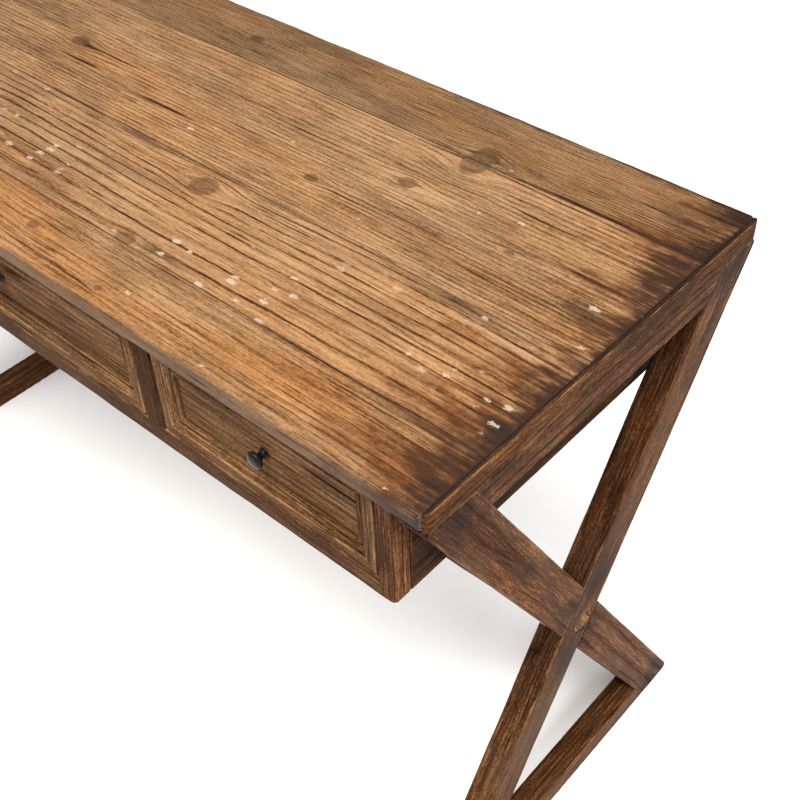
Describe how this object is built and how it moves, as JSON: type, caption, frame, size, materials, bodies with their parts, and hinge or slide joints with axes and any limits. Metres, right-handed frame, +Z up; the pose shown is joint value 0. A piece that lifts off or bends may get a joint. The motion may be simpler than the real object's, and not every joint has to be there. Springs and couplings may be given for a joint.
{
  "type": "writing desk with drawers",
  "caption": "Rustic plank-top writing desk on X-shaped end frames, with a shallow case of panelled drawers on black knobs.",
  "frame": {"origin": "on the floor, under the middle of the desk", "axes": "+X along the desk to the sitter's right, -Y towards the sitter and the drawer fronts, +Z up"},
  "size_m": [1.22, 0.506, 0.773],
  "materials": {
    "top_wood": "brushed and waxed reclaimed pine, golden brown with dark grain, worn lighter at the edges",
    "frame_wood": "satin dark walnut-brown stain over coarse grain, rubbed lighter on the corners",
    "drawer_face_wood": "satin grey-brown stain with worn, lighter mouldings",
    "inner_wood": "bare planed softwood",
    "plug_wood": "stained end grain with a pale rim",
    "knob_enamel": "glossy black enamel",
    "steel": "zinc-plated, slightly dull"
  },
  "bodies": {
    "root": {"top_end_strip_right": "top_wood", "top_end_strip_left": "top_wood", "top_plank_front": "top_wood", "top_plank_second": "top_wood", "top_plank_third": "top_wood", "top_plank_back": "top_wood", "leg_through_right": "frame_wood", "leg_lapped_right": "frame_wood", "end_rail_right": "frame_wood", "floor_runner_right": "frame_wood", "leg_through_left": "frame_wood", "leg_lapped_left": "frame_wood", "end_rail_left": "frame_wood", "floor_runner_left": "frame_wood", "stretcher": "frame_wood", "crossing_plug_right": "plug_wood", "crossing_plug_left": "plug_wood", "stretcher_bolt_right": "steel", "stretcher_bolt_left": "steel", "case_stile_right": "frame_wood", "case_side_right": "frame_wood", "case_mullion_right": "frame_wood", "case_stile_left": "frame_wood", "case_side_left": "frame_wood", "case_mullion_left": "frame_wood", "case_front_rail": "frame_wood", "case_back": "frame_wood", "case_divider_right": "inner_wood", "bearer_outer_right": "inner_wood", "bearer_divider_right": "inner_wood", "kicker_outer_right": "inner_wood", "kicker_divider_right": "inner_wood", "case_divider_left": "inner_wood", "bearer_outer_left": "inner_wood", "bearer_divider_left": "inner_wood", "kicker_outer_left": "inner_wood", "kicker_divider_left": "inner_wood"},
    "drawer_left": {"drawer_left_front": "drawer_face_wood", "drawer_left_side_right": "inner_wood", "drawer_left_side_left": "inner_wood", "drawer_left_back": "inner_wood", "drawer_left_bottom": "inner_wood", "drawer_left_knob": "knob_enamel", "drawer_left_knob_screw": "steel"},
    "drawer_centre": {"drawer_centre_front": "drawer_face_wood", "drawer_centre_side_right": "inner_wood", "drawer_centre_side_left": "inner_wood", "drawer_centre_back": "inner_wood", "drawer_centre_bottom": "inner_wood", "drawer_centre_knob": "knob_enamel", "drawer_centre_knob_screw": "steel"},
    "drawer_right": {"drawer_right_front": "drawer_face_wood", "drawer_right_side_right": "inner_wood", "drawer_right_side_left": "inner_wood", "drawer_right_back": "inner_wood", "drawer_right_bottom": "inner_wood", "drawer_right_knob": "knob_enamel", "drawer_right_knob_screw": "steel"}
  },
  "joints": [
    {"name": "drawer_left_slide", "type": "slide", "parent": "root", "child": "drawer_left", "axis": [0, -1, 0], "range_m": [0, 0.3]},
    {"name": "drawer_centre_slide", "type": "slide", "parent": "root", "child": "drawer_centre", "axis": [0, -1, 0], "range_m": [0, 0.3]},
    {"name": "drawer_right_slide", "type": "slide", "parent": "root", "child": "drawer_right", "axis": [0, -1, 0], "range_m": [0, 0.3]}
  ]
}
